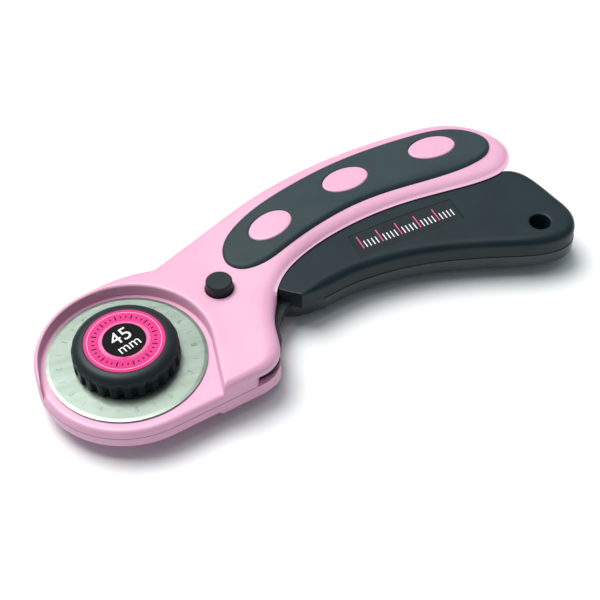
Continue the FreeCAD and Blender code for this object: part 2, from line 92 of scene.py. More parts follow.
# x, y, length, width and turn of each oval in the grip
OVALS = [(53.6, 28.2, 14.6, 9.6, 20), (81.8, 37.6, 15.2, 9.4, 8), (112.4, 40.6, 15.4, 9.4, 0)]
FIGURES_R = 19.0              # circle of the blade's figures
FIGURES_DEG = 141.0           # place of the first figure
BADGE_TILT = 18.0             # turn of the badge's figures


# ------------------------------------------------------------ plan curves
def polar(centre, radius, degrees):
    """The plan point at an angle on a circle."""
    angle = math.radians(degrees)
    return (centre[0] + radius * math.cos(angle), centre[1] + radius * math.sin(angle))


def unit(degrees):
    """The direction of an angle, one unit long."""
    return polar((0, 0), 1.0, degrees)


def spline(points, start=None, end=None, step=0.6):
    """Cubic spline through points, by chord length, with optional end directions."""
    through = np.array(points, float)
    places = np.concatenate([[0], np.cumsum(np.hypot(*np.diff(through, axis=0).T))])
    count, gaps = len(through), np.diff(places)
    left, right = np.zeros((count, count)), np.zeros((count, 2))
    for i in range(1, count - 1):
        left[i, i - 1], left[i, i + 1] = gaps[i], gaps[i - 1]
        left[i, i] = 2 * (gaps[i - 1] + gaps[i])
        before = (through[i] - through[i - 1]) / gaps[i - 1]
        after = (through[i + 1] - through[i]) / gaps[i]
        right[i] = 3 * (gaps[i] * before + gaps[i - 1] * after)
    left[0, 0] = left[-1, -1] = 1.0
    if start is None:
        left[0, 0], left[0, 1] = 2.0, 1.0
        right[0] = 3 * (through[1] - through[0]) / gaps[0]
    else:
        right[0] = np.array(start) / np.hypot(*start)
    if end is None:
        left[-1, -1], left[-1, -2] = 2.0, 1.0
        right[-1] = 3 * (through[-1] - through[-2]) / gaps[-1]
    else:
        right[-1] = np.array(end) / np.hypot(*end)
    slopes = np.linalg.solve(left, right)
    at = np.linspace(0, places[-1], max(3, int(places[-1] / step) + 1))
    span = np.clip(np.searchsorted(places, at, side="right") - 1, 0, count - 2)
    width = gaps[span][:, None]
    t = ((at - places[span]) / gaps[span])[:, None]
    return ((2 * t**3 - 3 * t**2 + 1) * through[span] + (t**3 - 2 * t**2 + t) * width * slopes[span]
            + (3 * t**2 - 2 * t**3) * through[span + 1] + (t**3 - t**2) * width * slopes[span + 1])


def arc(centre, radius, start, end, step=0.6):
    """Points along a part of a circle, with both its ends."""
    count = max(4, int(abs(math.radians(end - start)) * radius / step) + 1)
    return np.array([polar(centre, radius, angle) for angle in np.linspace(start, end, count)])


def circle(at, radius, step, gap=6.0):
    """A circle whose last point stops short of the first by a few degrees."""
    return arc(at, radius, 0, 360 - gap, step)


def loop(*pieces):
    """Join curves end to end into one closed loop without repeated points."""
    points = np.concatenate(pieces)
    keep = np.hypot(*(points - np.roll(points, 1, axis=0)).T) > 0.02
    return points[keep]


def link(a, b, radius, step=0.6):
    """The outline round two equal circles."""
    heading = math.degrees(math.atan2(b[1] - a[1], b[0] - a[0]))
    first = arc(a, radius, heading + 90, heading + 270, step)
    second = arc(b, radius, heading - 90, heading + 90, step)
    count = max(2, int(math.hypot(b[0] - a[0], b[1] - a[1]) / step))
    side = np.linspace(0, 1, count)[1:-1, None]
    return loop(first, first[-1] + side * (second[0] - first[-1]), second,
                second[-1] + side * (first[0] - second[-1]))


def ellipse(oval, grow=0.0, count=64):
    """The outline of an oval, made larger by grow all round."""
    x, y, length, width, degrees = oval
    turn = math.radians(degrees)
    angle = np.linspace(0, 2 * math.pi, count, endpoint=False)
    u, v = (length / 2 + grow) * np.cos(angle), (width / 2 + grow) * np.sin(angle)
    return np.stack([x + u * math.cos(turn) - v * math.sin(turn),
                     y + u * math.sin(turn) + v * math.cos(turn)], axis=1)


def straight(a, b, step=0.6):
    """Points along a straight line, with both its ends."""
    count = max(2, int(math.dist(a, b) / step) + 1)
    return np.linspace(a, b, count)


def body_loop():
    """The outline of the body: guard disc, neck and handle."""
    bottom = polar(HEAD_CENTRE, HEAD_R, GUARD_DEG - 90)
    guard = unit(GUARD_DEG)
    corner = (bottom[0] + 27.9 * guard[0], bottom[1] + 27.9 * guard[1])
    nape, heel, heel_way = (16.5, 27.1), (127.0, 24.2), (1.0, 0.22)
    lower = spline([corner, (37.9, -18.0), (40.4, -13.3), (41.9, -6), (44.5, 1), (50, 9.2), (60, 16),
                    (75, 21.2), (95, 23.9), (113, 23.5), heel], guard, heel_way)
    upper = spline([heel, (133.2, 28), (135.4, 35), (133, 42.4), (126, 48.8), (115, 51.8), (100, 52),
                    (85, 50.8), (70, 48.1), (50, 42), (33, 34.9), nape], heel_way, (-1.0, -0.48))
    top = polar(HEAD_CENTRE, HEAD_R, 105)
    crest = spline([nape, (9.5, 27.9), (1.5, 27.2), top], (-1.0, 0.17), unit(195))
    disc = arc(HEAD_CENTRE, HEAD_R, 105, 270 + GUARD_DEG)
    return loop(disc, straight(bottom, corner), lower, upper, crest)


def grip_loop():
    """The outline of the soft front grip."""
    start, end, down, up = (36.7, 20.6), (130.4, 37.3), (0.1, -1.0), (0.0, 1.0)
    upper = spline([end, (128, 42.6), (121, 47), (108, 48.5), (95, 48), (80, 46), (60, 40.4), (44, 32.9),
                    (38.2, 27), start], up, down)
    lower = spline([start, (39.2, 16.4), (44.5, 15.2), (55, 18.6), (67, 23.6), (80, 27.3), (95, 28.8),
                    (113, 29), (124, 30.8), (128.6, 33.4), end], down, up)
    return loop(upper, lower)


# ------------------------------------------------------------ distances and heights
def distance(points, line):
    """Distance of each point to a closed loop, positive inside it."""
    a, b = line, np.roll(line, -1, axis=0)
    way = b - a
    length2 = (way**2).sum(1)
    best = np.empty(len(points))
    inside = np.zeros(len(points), bool)
    for first in range(0, len(points), 2000):
        p = points[first:first + 2000, None, :]
        t = np.clip(((p - a) * way).sum(2) / length2, 0, 1)
        near = a + t[..., None] * way
        best[first:first + 2000] = np.sqrt(((p - near)**2).sum(2)).min(1)
        up = (a[:, 1] > p[..., 1]) != (b[:, 1] > p[..., 1])
        rise = np.where(way[:, 1] == 0, 1e-12, way[:, 1])
        cross = (p[..., 1] - a[:, 1]) / rise * way[:, 0] + a[:, 0]
        inside[first:first + 2000] = (up & (p[..., 0] < cross)).sum(1) % 2 == 1
    return np.where(inside, best, -best)


def inset(line, amount):
    """A loop moved inwards along its normals, thinned where it would fold."""
    ahead, behind = np.roll(line, -1, axis=0), np.roll(line, 1, axis=0)
    way = ahead - behind
    way /= np.hypot(*way.T)[:, None]
    moved = line + amount * np.stack([-way[:, 1], way[:, 0]], axis=1)
    keep = distance(moved, line) > abs(amount) - 0.04
    return moved[keep]


def smooth(value, low_end, high_end):
    """0 up to low_end, 1 from high_end on, and a smooth step between."""
    t = np.clip((value - low_end) / (high_end - low_end), 0, 1)
    return t * t * (3 - 2 * t)


def round_off(depth, width, height):
    """Drop of a rounded edge of that width and height, at a depth inside it."""
    t = np.clip(1 - depth / width, 0, 1)
    return height * (1 - np.sqrt(np.clip(1 - t * t, 0, 1)))


# Plan lines: where the handle and the grip begin to fall towards the trigger,
# and the grip's lower edge.
RIDGE = spline([(30, 12), (45, 18), (60, 25), (70, 30), (80, 33.4), (90, 35.4), (105, 37), (120, 37.6),
                (140, 37.6)])
GRIP_RIDGE = spline([(36, 15.4), (44, 16.8), (50, 18.8), (60, 22.6), (70, 26.6), (80, 30.0), (90, 32.4),
                     (100, 33.6), (110, 34.6), (118, 35.5), (124, 36.4), (134, 37.4)])
GRIP_LOW = spline([(36, 14.8), (44.5, 15.2), (55, 18.6), (67, 23.6), (80, 27.3), (95, 28.8), (113, 29),
                   (124, 30.6), (134, 36.0)])


def height_on(line, x):
    """The y of a plan line that runs along the handle."""
    return np.interp(x, line[:, 0], line[:, 1])


def level(x):
    """Height of the handle's face along its ridge."""
    return Z_FACE + HANDLE_RISE * smooth(x, 27, 62) - TAIL_DROP * smooth(x, 112, 138)


def crown(points):
    """The handle's top surface: flat above the ridge line, sloping below it."""
    x, y = points[:, 0], points[:, 1]
    fall = height_on(RIDGE, x) - y
    soft = 0.5 * (fall + np.sqrt(fall**2 + 4.0))
    return level(x) - CROWN_SLOPE * soft * smooth(x, 34, 60)


def recess_depth(points):
    """Distance inside the blade pocket, a disc run out through the guard edge."""
    way = np.array(unit(RECESS_DEG))
    along = np.clip(points @ way, 0, 60)
    return RECESS_R - np.hypot(*(points - along[:, None] * way).T)


# ------------------------------------------------------------ mesh helpers
def finish_mesh(name, mesh, body, material, sharp=32.0):
    """An object of that mesh, smooth up to the sharp angle, that rides on a body."""
    mesh.validate()
    mesh.shade_smooth()
    mesh.set_sharp_from_angle(angle=math.radians(sharp))
    piece = bpy.data.objects.new(name, mesh)
    bpy.context.scene.collection.objects.link(piece)
    piece.data.materials.append(material)
    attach(piece, body)
    return piece


def to_mesh(name, corners, faces):
    """A mesh from plan millimetres, with its faces turned outwards."""
    mesh = bpy.data.meshes.new(name)
    places = np.asarray(corners, float) * MM + np.array(ORIGIN)
    mesh.from_pydata(places.tolist(), [], faces)
    work = bmesh.new()
    work.from_mesh(mesh)
    bmesh.ops.recalc_face_normals(work, faces=work.faces)
    work.to_mesh(mesh)
    work.free()
    return mesh


def slab(name, outer, holes, features, top, under, spacing):
    """A moulded plate over a plan outline, from its top and underside heights."""
    loops = [outer] + holes + features
    points, edges = [], []
    for line in loops:
        first = len(points)
        points += line.tolist()
        edges += [(first + i, first + (i + 1) % len(line)) for i in range(len(line))]
    lo, hi = outer.min(0), outer.max(0)
    xs = np.arange(lo[0], hi[0], spacing)
    ys = np.arange(lo[1], hi[1], spacing * 0.87)
    grid = np.array([(x + spacing / 2 * (row % 2), y) for row, y in enumerate(ys) for x in xs])
    clear = distance(grid, outer) > 0.3 * spacing
    for line in holes + features:
        clear &= np.abs(distance(grid, line)) > 0.3 * spacing
    points += grid[clear].tolist()
    flat = delaunay_2d_cdt([Vector(p) for p in points], edges, [], 0, 1e-6)
    plan, faces = np.array([tuple(v) for v in flat[0]]), [f for f in flat[2] if len(f) == 3]
    middle = plan[np.array(faces)].mean(1)
    keep = distance(middle, outer) > 0
    for hole in holes:
        keep &= distance(middle, hole) < 0
    faces = [f for f, wanted in zip(faces, keep) if wanted]
    used = sorted(set(i for f in faces for i in f))
    index = {old: new for new, old in enumerate(used)}
    faces = [tuple(index[i] for i in f) for f in faces]
    plan = plan[used]
    zt, zu = top(plan), under(plan)
    zu = np.minimum(zu, zt - 0.15)
    count = len(plan)
    corners = np.concatenate([np.column_stack([plan, zt]), np.column_stack([plan, zu])])
    sides = {(a, b): True for f in faces for a, b in zip(f, f[1:] + f[:1])}
    rim = [(a, b) for a, b in sides if (b, a) not in sides]
    all_faces = faces + [tuple(count + i for i in reversed(f)) for f in faces]
    all_faces += [(b, a, count + a, count + b) for a, b in rim]
    return to_mesh(name, corners, all_faces)


def turned(name, profile, segments, radius=None):
    """A ring of profile points turned about the blade's axis; radius may bend it."""
    corners, faces = [], []
    for s in range(segments):
        angle = 2 * math.pi * s / segments
        for r, z in profile:
            bent = r if radius is None else radius(r, z, angle)
            corners.append((bent * math.cos(angle), bent * math.sin(angle), z))
    rows = len(profile)
    for s in range(segments):
        for k in range(rows - 1):
            a, b = s * rows + k, ((s + 1) % segments) * rows + k
            faces.append((a, b, b + 1, a + 1))
    mesh = to_mesh(name, corners, faces)
    work = bmesh.new()
    work.from_mesh(mesh)
    bmesh.ops.remove_doubles(work, verts=work.verts, dist=1e-7)
    bmesh.ops.dissolve_degenerate(work, edges=work.edges, dist=1e-8)
    bmesh.ops.recalc_face_normals(work, faces=work.faces)
    work.to_mesh(mesh)
    work.free()
    return mesh


# ------------------------------------------------------------ materials
def node(tree, kind, **values):
    """A new shader node with its sockets or settings filled in."""
    made = tree.nodes.new(kind)
    for key, value in values.items():
        if key in made.inputs:
            made.inputs[key].default_value = value
        else:
            setattr(made, key, value)
    return made


def surface(name, shades, rough, grain, bump, scale_mm, metallic=0.0, stretch=None, specular=0.5,
            subsurface=0.0):
    """Procedural finish: mottled colour, varied roughness and a fine bump."""
    material = bpy.data.materials.new(name)
    material.use_nodes = True
    tree = material.node_tree
    shader = tree.nodes["Principled BSDF"]
    place = node(tree, "ShaderNodeTexCoord").outputs["Object"]
    if stretch:
        mapping = node(tree, "ShaderNodeMapping")
        mapping.inputs["Scale"].default_value = stretch
        tree.links.new(place, mapping.inputs["Vector"])
        place = mapping.outputs["Vector"]
    cloud = node(tree, "ShaderNodeTexNoise", Scale=90.0, Detail=3.0, Roughness=0.6)
    fine = node(tree, "ShaderNodeTexNoise", Scale=1.0 / (scale_mm * MM), Detail=2.0, Roughness=0.5)
    for texture in (cloud, fine):
        tree.links.new(place, texture.inputs["Vector"])
    ramp = node(tree, "ShaderNodeValToRGB")
    for stop, shade, at in zip(ramp.color_ramp.elements, shades, (0.3, 0.7)):
        stop.color, stop.position = (*shade, 1.0), at
    tree.links.new(cloud.outputs["Fac"], ramp.inputs["Fac"])
    tree.links.new(ramp.outputs["Color"], shader.inputs["Base Color"])
    spread = node(tree, "ShaderNodeMapRange")
    spread.inputs["To Min"].default_value = rough - grain
    spread.inputs["To Max"].default_value = rough + grain
    tree.links.new(fine.outputs["Fac"], spread.inputs["Value"])
    tree.links.new(spread.outputs["Result"], shader.inputs["Roughness"])
    lift = node(tree, "ShaderNodeBump", Strength=bump, Distance=0.00006)
    tree.links.new(fine.outputs["Fac"], lift.inputs["Height"])
    tree.links.new(lift.outputs["Normal"], shader.inputs["Normal"])
    shader.inputs["Metallic"].default_value = metallic
    shader.inputs["Specular IOR Level"].default_value = specular
    shader.inputs["Subsurface Weight"].default_value = subsurface
    shader.inputs["Subsurface Radius"].default_value = (0.004, 0.002, 0.002)
    shader.inputs["Subsurface Scale"].default_value = 0.5
    return material


def brushed(name, shades, rough, direction):
    """Ground steel: fine parallel scratches in one direction."""
    return surface(name, shades, rough, 0.12, 0.5, 0.25, metallic=1.0, stretch=direction)


PINK = surface("pink_plastic", [(0.82, 0.41, 0.59), (0.85, 0.435, 0.62)], 0.42, 0.05, 0.10, 0.28,
               subsurface=0.20, specular=0.9)
# Painted shade: this dark pink stands in for the shadow in the groove where the two shells meet
SEAM_SHADE = surface("pink_seam_painted_shade", [(0.42, 0.10, 0.20), (0.48, 0.13, 0.24)], 0.6, 0.05, 0.10, 0.28, specular=0.2)
DARK = surface("dark_plastic", [(0.005, 0.016, 0.021), (0.008, 0.021, 0.027)], 0.40, 0.07, 0.30, 0.22,
               specular=0.3)
LEVER_BLACK = surface("black_steel", [(0.012, 0.019, 0.023), (0.018, 0.026, 0.031)], 0.40, 0.08, 0.15, 0.2,
                      specular=0.3)
DARK_GLOSS = surface("dark_gloss", [(0.006, 0.017, 0.021), (0.010, 0.022, 0.027)], 0.20, 0.05, 0.08, 0.3,
                     specular=0.5)
GRIP = surface("dark_grip", [(0.024, 0.044, 0.049), (0.031, 0.052, 0.057)], 0.58, 0.08, 0.45, 0.20,
               specular=0.3)
KNOB = surface("knob_plastic", [(0.007, 0.014, 0.018), (0.011, 0.019, 0.024)], 0.43, 0.07, 0.35, 0.20,
               specular=0.32)
BUTTON = surface("button_plastic", [(0.012, 0.021, 0.025), (0.017, 0.028, 0.032)], 0.50, 0.08, 0.20, 0.3,
                 specular=0.25)
BLADE = brushed("blade_steel", [(0.22, 0.275, 0.235), (0.28, 0.335, 0.295)], 0.34, (0.35, 2.6, 1.0))
STAMP = surface("blade_stamp", [(0.13, 0.16, 0.14), (0.20, 0.24, 0.22)], 0.3, 0.08, 0.2, 0.2,
                metallic=1.0)
STEEL = surface("hardware_steel", [(0.52, 0.54, 0.55), (0.62, 0.63, 0.64)], 0.3, 0.08, 0.1, 0.3,
                metallic=1.0)
SPRING = surface("spring_steel", [(0.35, 0.36, 0.38), (0.45, 0.46, 0.48)], 0.28, 0.06, 0.1, 0.3,
                 metallic=1.0)
BRASS = surface("brass", [(0.70, 0.48, 0.16), (0.80, 0.58, 0.24)], 0.3, 0.08, 0.1, 0.3, metallic=1.0)
MAGENTA = surface("badge_print", [(0.78, 0.040, 0.24), (0.82, 0.055, 0.27)], 0.45, 0.04, 0.04, 0.5,
                  specular=0.12)
FOIL = surface("badge_foil", [(0.62, 0.05, 0.20), (0.85, 0.22, 0.44)], 0.3, 0.05, 0.02, 0.5,
               metallic=1.0)
PALE_PINK = surface("badge_line", [(0.95, 0.40, 0.62), (0.97, 0.45, 0.66)], 0.4, 0.05, 0.05, 0.5)
BLACK = surface("badge_black", [(0.004, 0.003, 0.004), (0.007, 0.006, 0.007)], 0.5, 0.05, 0.05, 0.5,
                specular=0.08)
WHITE = surface("badge_white", [(0.86, 0.86, 0.86), (0.92, 0.92, 0.92)], 0.45, 0.05, 0.05, 0.5)
LABEL = surface("label_film", [(0.008, 0.014, 0.018), (0.012, 0.019, 0.023)], 0.42, 0.04, 0.05, 0.4,
                specular=0.25)
PRINT_PINK = surface("label_pink", [(0.80, 0.10, 0.32), (0.86, 0.14, 0.38)], 0.45, 0.05, 0.05, 0.5,
                     specular=0.2)


# ------------------------------------------------------------ front shell
BODY = inset(body_loop(), 0.02)
GRIP_LINE = grip_loop()
WINDOW = np.array([(30.75, -30), (50, -30), (50, -12), (39, -12), (37.6, -14.8), (34.6, -16.7),
                   (30.75, -17.6)])
MOUTH = np.array([(43.8, 18), (44.1, 7.0), (46.8, 4.8), (52.4, 0.4), (60, -20), (160, -20), (160, 40.6),
                  (131, 40.6), (118, 34), (60, 24)])


def shell_top(points):
    """The shell's face: rounded edge, blade pocket, seat of the grip, ovals and button hole."""
    x, y = points[:, 0], points[:, 1]
    depth = distance(points, BODY)
    lower_side = smooth(x, 26, 42) * (1 - smooth(y - height_on(RIDGE, x), -3, 3))
    tail = smooth(x, 118, 132)
    soft = np.maximum(lower_side, tail)
    z = crown(points) - round_off(depth, 2.3 + 2.0 * soft, 2.2 + 0.45 * soft)
    z = np.maximum(z, 0.6 + 2.15 * smooth(distance(points, MOUTH), -2.0, 0.3))
    floor = Z_FLOOR - round_off(depth, 1.5, 1.4)
    beyond = -recess_depth(points)
    lip = 0.5 * np.clip(1 - (beyond - 0.3) / 0.85, 0, 1) ** 2
    z = floor + (z - lip - floor) * np.clip(beyond / 0.3, 0, 1)
    grip = distance(points, GRIP_LINE)
    z = z - 0.9 * smooth(grip, 0.0, 0.12)
    for oval in OVALS:
        inside = distance(points, ellipse(oval))
        z = np.where(inside > -0.02, grip_top(points) + 0.04 - round_off(inside, 0.5, 0.3), z)
    hole = np.hypot(x - LOCK[0], y - LOCK[1]) - LOCK_HOLE_R
    return z - round_off(hole, 0.4, 0.4)


def grip_top(points):
    """Crowned top of the grip; it stands a little proud of the shell."""
    x, y = points[:, 0], points[:, 1]
    ridge = height_on(GRIP_RIDGE, x)
    width = ridge - height_on(GRIP_LOW, x)
    t = np.clip((ridge - y) / np.maximum(width, 0.5), 0, 1)
    roll = 0.30 * width * (1 - smooth(x, 116, 130)) * (1 - np.sqrt(1 - 0.9 * t * t)) / 0.684
    return np.maximum(level(x) + GRIP_STEP - roll, crown(points) + 0.35)


def shell_under(points):
    """The shell's inside: walls down to the split, floors and the open slots between them."""
    depth = distance(points, BODY)
    x, y = points[:, 0], points[:, 1]
    z = np.where(depth < WALL, Z_SPLIT, np.where(x < 43.8, Z_FLOOR_BACK, Z_HANDLE_UNDER))
    slot = (x > 37.5) & (x < 62) & (y > -15.2) & (y < 9)
    nose = np.hypot(x - NOSE[0], y - NOSE[1]) < NOSE_ROOM_R
    z = np.where(slot | nose, np.maximum(z, Z_FLOOR_BACK), z)
    window = (distance(points, WINDOW) > 0) & (depth < 4.0)
    z = np.where(window, WINDOW_TOP, z)
    return np.where(distance(points, MOUTH) > 0, Z_HANDLE_UNDER - 0.02, z)


def front_shell():
    """The pink front shell, cut along lines that follow its edges, pocket and openings."""
    features = [inset(BODY, depth) for depth in (0.12, 0.3, 0.55, 0.9, 1.3, 1.75, 1.85, 2.3, 2.9, 3.6)]
    run = polar((0, 0), 40, RECESS_DEG)
    features += [link((0, 0), run, RECESS_R + grow) for grow in (0.0, 0.3, 0.42, 0.58, 0.78, 1.0, 1.15)]
    features += [GRIP_LINE, inset(GRIP_LINE, 0.14)]
    for oval in OVALS:
        features += [ellipse(oval, grow) for grow in (0.0, -0.12, -0.28, -0.5)]
    features += [circle(LOCK, LOCK_HOLE_R + grow, 0.5) for grow in (0.1, 0.22, 0.4)]
    features = [line[distance(line, BODY) > 0.03] for line in features]
    turn = math.radians(SQUEEZE_DEG)
    dx, dy = -PIVOT[0], -PIVOT[1]
    swung = (PIVOT[0] + dx * math.cos(turn) - dy * math.sin(turn),
             PIVOT[1] + dx * math.sin(turn) + dy * math.cos(turn))
    holes = [circle(LOCK, LOCK_HOLE_R, 0.5), link((0, 0), swung, SLOT_R)]
    mesh = slab("front_shell_skin", BODY, holes, features, shell_top, shell_under, 1.1)
    piece = finish_mesh("front_shell_skin", mesh, "body", PINK, 40)
    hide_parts("front_shell")


def seam_painted_shade():
    """Fine dark line where the two shells meet: painted shade of the parting groove, a strip coloured dark
    pink, left out along the slot and the trigger's mouth.
    """
    line = inset(body_loop(), 0.008)
    x, y = line[:, 0], line[:, 1]
    shown = (x < 30.4) | (y > 42) | ((x < 100) & (y > 26))
    first = int(np.argmax(shown & ~np.roll(shown, 1)))
    line, shown = np.roll(line, -first, axis=0), np.roll(shown, -first)
    line = line[:int(np.argmin(shown))]
    way = np.gradient(line, axis=0)
    inwards = np.stack([-way[:, 1], way[:, 0]], axis=1) / np.hypot(*way.T)[:, None]
    depth, low_edge, high_edge = 0.15, Z_SPLIT + 0.04, Z_SPLIT + 0.26
    section = ((0.0, low_edge), (0.0, high_edge), (depth, high_edge), (depth, low_edge))
    corners = [(*(point + inside * inward), z)
               for point, inward in zip(line, inwards) for inside, z in section]
    faces = [(4 * i + k, 4 * i + 4 + k, 4 * i + 4 + (k + 1) % 4, 4 * i + (k + 1) % 4)
             for i in range(len(line) - 1) for k in range(4)]
    last = 4 * len(line) - 4
    faces += [(0, 1, 2, 3), (last + 3, last + 2, last + 1, last)]
    piece = finish_mesh("body_seam_painted_shade", to_mesh("body_seam_painted_shade", corners, faces), "body", SEAM_SHADE)


def front_grip():
    """The dark grip with its three holes for the ovals."""
    features = [inset(GRIP_LINE, depth) for depth in (0.08, 0.2, 0.38, 0.6, 0.85, 1.15, 1.5)]
    holes = [ellipse(oval, 0.12) for oval in OVALS]
    features += [ellipse(oval, grow) for oval in OVALS for grow in (0.2, 0.35, 0.55)]

    def top(points):
        """The crowned face, rolled off at the outer edge and round the ovals."""
        z = grip_top(points) - round_off(distance(points, GRIP_LINE), 1.4, 0.95)
        for oval in OVALS:
            z = z - round_off(-distance(points, ellipse(oval, 0.12)), 0.45, 0.25)
        return z

    def under(points):
        """The underside, just clear of its seat in the shell."""
        return np.minimum(crown(points) - 0.88, grip_top(points) - 1.0)

    mesh = slab("front_grip_skin", GRIP_LINE, holes, features, top, under, 1.1)
    piece = finish_mesh("front_grip_skin", mesh, "body", GRIP, 45)
    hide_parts("front_grip")


# ------------------------------------------------------------ trigger covers
def trigger_loop(chin_cut):
    """The trigger's outline; chin_cut rounds off its front lower corner."""
    chin, nose, tail = (52.8, 0.9), (47.3, 5.6), (131.0, 26.8)
    outer = spline([chin, (58, 1.7), (70, 4.2), (82.4, 4.6), (92.6, 3.5), (104, 0.8), (118, -3.8),
                    (130.4, -6.9), (137.4, -5.4), (141.3, 1.8), (140.3, 9), (138, 18), (135, 24.2), tail],
                   (1.0, 0.05), (-1.0, 0.25))
    inner = spline([tail, (120, 29.2), (100, 29.3), (80, 26), (60, 18.6), (50, 11.8), nose],
                   (-1.0, 0.25), (-0.35, -1.0))
    front = straight(nose, chin)
    if chin_cut:
        outer = outer[outer[:, 0] > 60.0]
        front = spline([nose, (49.4, 4.5), (52.6, 3.4), (56.4, 2.75), tuple(outer[0])])
    return loop(outer, inner, front)


def label_loop():
    """The outline of the label's recess."""
    low_side = spline([(74.2, 8.2), (92, 9.8), (109.5, 11.2)])
    high_side = spline([(109.1, 20.4), (92, 19.6), (74.2, 17.6)])
    return loop(low_side, straight(low_side[-1], high_side[0]),
                high_side, straight(high_side[-1], low_side[0]))


def trigger_cover(front):
    """One half of the trigger; the front one is drawn in a little, which shows the parting line."""
    outline = inset(trigger_loop(not front), 0.22 if front else 0.02)
    features = [inset(outline, depth) for depth in (0.1, 0.25, 0.5, 0.8, 1.2, 1.65, 2.1, 2.6)]
    features += [circle(HANG_HOLE, HANG_HOLE_R + grow, 0.4) for grow in (0.12, 0.3, 0.55)]
    holes = [circle(HANG_HOLE, HANG_HOLE_R, 0.4)]
    recess = label_loop()
    if front:
        features += [recess, inset(recess, 0.12)]
    else:
        holes += [circle(at, 1.2, 0.4, 20.0) for at in TRIGGER_SCREWS]
        features += [circle(at, radius, 0.4, 10.0) for at in TRIGGER_SCREWS for radius in (2.3, 2.4, 2.6)]

    def shoulder(points):
        """Rounding of the outer edge: none at the front wall, full along the lower side."""
        depth = distance(points, outline)
        grow = smooth(points[:, 0], 50, 63)
        return round_off(depth, 0.25 + 2.5 * grow, 0.2 + 2.2 * grow)

    def eye(points):
        """Rounding round the hanging hole."""
        around = np.hypot(points[:, 0] - HANG_HOLE[0], points[:, 1] - HANG_HOLE[1]) - HANG_HOLE_R
        return round_off(around, 0.55, 0.45)

    def top(points):
        """The front half's face with the label's recess, or the rear half's flat joint."""
        if not front:
            return np.full(len(points), Z_SPLIT) - round_off(distance(points, outline), 0.25, 0.15)
        z = Z_TRIGGER[1] - shoulder(points) - 0.46 * smooth(distance(points, recess), 0.0, 0.1)
        return z - eye(points)

    def under(points):
        """The front half's flat joint, or the rear half's back with its counterbores."""
        if front:
            return np.full(len(points), Z_SPLIT)
        z = Z_TRIGGER[0] + shoulder(points)
        for at in TRIGGER_SCREWS:
            bore = np.hypot(points[:, 0] - at[0], points[:, 1] - at[1]) < 2.35
            z = np.where(bore, Z_SCREW_SEAT, z)
        return z + eye(points)

    name = "trigger_front_cover" if front else "trigger_rear_cover"
    mesh = slab(name + "_skin", outline, holes, features, top, under, 1.6)
    piece = finish_mesh(name + "_skin", mesh, "lever", DARK if front else DARK_GLOSS, 38)
    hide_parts(name)


# ------------------------------------------------------------ knob and badge
def knob():
    """The clamp knob: rounded shoulder, fluted wall, cored underside and a seat for the badge."""
    foot, top = Z_KNOB
    shoulder = [(KNOB_R - 3.4 + 3.4 * math.cos(math.radians(a)), 4.2 + 3.1 * math.sin(math.radians(a)))
                for a in range(0, 91, 6)]
    wall = [(KNOB_R, z) for z in np.linspace(0.55, 4.2, 14)[:-1]]
    seat = [(5.0, 6.79), (11.35, 6.79), (11.38, top - 0.07), (11.45, top)]
    core = [(KNOB_R - 0.06, foot + 0.07), (KNOB_R - 0.25, foot), (13.0, foot), (13.0, 4.6), (8.6, 4.6),
            (8.6, foot), (7.0, foot), (7.0, 1.3), (5.0, 1.3), (5.0, 6.79)]
    profile = seat + shoulder[::-1] + wall[::-1] + core

    def fluted(r, z, angle):
        """Grooves in the outer wall that fade out towards the shoulder."""
        if r < 13.2:
            return r
        fade = 1 - smooth(np.array(z), 2.2, 6.0)
        wave = 0.5 - 0.5 * math.cos(KNOB_FLUTES * angle)
        groove = max(0.0, (wave - 0.30) / 0.70) ** 1.3
        return r - float(1.05 * fade * groove)

    mesh = turned("clamp_knob_skin", profile, 24 * KNOB_FLUTES, fluted)
    piece = finish_mesh("clamp_knob_skin", mesh, "knob", KNOB, 35)
    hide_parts("clamp_knob")


def flat_ring(name, inner, outer, z_low, z_high, body, material):
    """A thin ring with broken edges; inner 0 makes a disc."""
    edge = 0.03
    profile = [(inner, z_low), (inner, z_high - edge), (inner + edge, z_high), (outer - edge, z_high),
               (outer, z_high - edge), (outer, z_low), (inner, z_low)]
    piece = finish_mesh(name, turned(name, profile, 160), body, material)


def lettering(name, text, size, at, degrees, z, thick, body, material):
    """Printed or stamped figures as a thin solid, size in mm."""
    curve = bpy.data.curves.new(name, "FONT")
    curve.body, curve.size = text, size * MM
    curve.align_x, curve.align_y = "CENTER", "CENTER"
    curve.extrude = thick * MM / 2
    curve.resolution_u = 4
    holder = bpy.data.objects.new(name + "_curve", curve)
    bpy.context.scene.collection.objects.link(holder)
    mesh = bpy.data.meshes.new_from_object(holder)
    bpy.data.objects.remove(holder)
    spot = Vector((at[0], at[1], z)) * MM + ORIGIN
    mesh.transform(Matrix.Translation(spot) @ Matrix.Rotation(math.radians(degrees), 4, "Z"))
    piece = bpy.data.objects.new(name, mesh)
    bpy.context.scene.collection.objects.link(piece)
    mesh.materials.clear()
    mesh.materials.append(material)
    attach(piece, body)


def bar(name, centre, size, degrees, z, thick, body, material):
    """A small flat printed or stamped mark, to be joined with others."""
    work = bmesh.new()
    bmesh.ops.create_cube(work, size=1.0)
    bmesh.ops.scale(work, vec=(size[0] * MM, size[1] * MM, thick * MM), verts=work.verts)
    bmesh.ops.bevel(work, geom=work.edges[:], offset=thick * MM * 0.3, segments=2, affect="EDGES")
    mesh = bpy.data.meshes.new(name)
    work.to_mesh(mesh)
    work.free()
    spot = Vector((centre[0], centre[1], z)) * MM + ORIGIN
    mesh.transform(Matrix.Translation(spot) @ Matrix.Rotation(math.radians(degrees), 4, "Z"))
    return finish_mesh(name, mesh, body, material)


